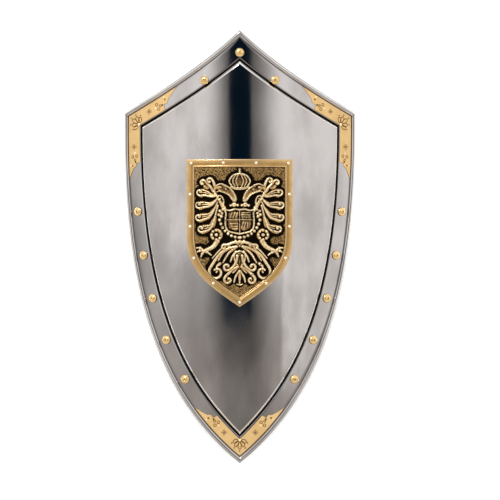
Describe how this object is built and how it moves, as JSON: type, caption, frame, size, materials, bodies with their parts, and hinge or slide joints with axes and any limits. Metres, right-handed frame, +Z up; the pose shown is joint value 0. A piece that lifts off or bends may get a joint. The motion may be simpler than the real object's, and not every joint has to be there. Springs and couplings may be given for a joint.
{
  "type": "heater shield",
  "caption": "Decorative steel heater shield, rolled about its upright axis, with a wired rim, gilt corner mounts, brass rivets and a gilt double-headed eagle plaque",
  "frame": {"origin": "on the surface that the shield lies on, below the middle of its overall outline", "axes": "+Y from the bottom point to the top point, +Z up out of the front face, +X to the shield's left as its bearer holds it, the viewer's right"},
  "size_m": [0.387, 0.7094, 0.0901],
  "materials": {
    "steel": "polished, fine vertical grain",
    "gilt": "gilt, stamped",
    "aged_gilt": "antiqued gilt, dark in the hollows",
    "rivet_brass": "polished"
  },
  "bodies": {
    "root": {"shield_plate": "steel", "eagle_plaque": "aged_gilt", "shoulder_mount_right": "gilt", "shoulder_mount_left": "gilt", "point_mount": "gilt", "border_rivet_top": "rivet_brass", "border_rivet_right_1": "rivet_brass", "border_rivet_left_1": "rivet_brass", "border_rivet_right_2": "rivet_brass", "border_rivet_left_2": "rivet_brass", "border_rivet_right_3": "rivet_brass", "border_rivet_left_3": "rivet_brass", "border_rivet_right_4": "rivet_brass", "border_rivet_left_4": "rivet_brass", "border_rivet_right_5": "rivet_brass", "border_rivet_left_5": "rivet_brass", "border_rivet_right_6": "rivet_brass", "border_rivet_left_6": "rivet_brass", "plaque_pin_right_1": "rivet_brass", "plaque_pin_left_1": "rivet_brass", "plaque_pin_right_2": "rivet_brass", "plaque_pin_left_2": "rivet_brass", "plaque_pin_right_3": "rivet_brass", "plaque_pin_left_3": "rivet_brass", "plaque_pin_right_4": "rivet_brass", "plaque_pin_left_4": "rivet_brass", "plaque_pin_right_5": "rivet_brass", "plaque_pin_left_5": "rivet_brass", "plaque_pin_right_6": "rivet_brass", "plaque_pin_left_6": "rivet_brass", "plaque_pin_point": "rivet_brass"}
  },
  "joints": []
}
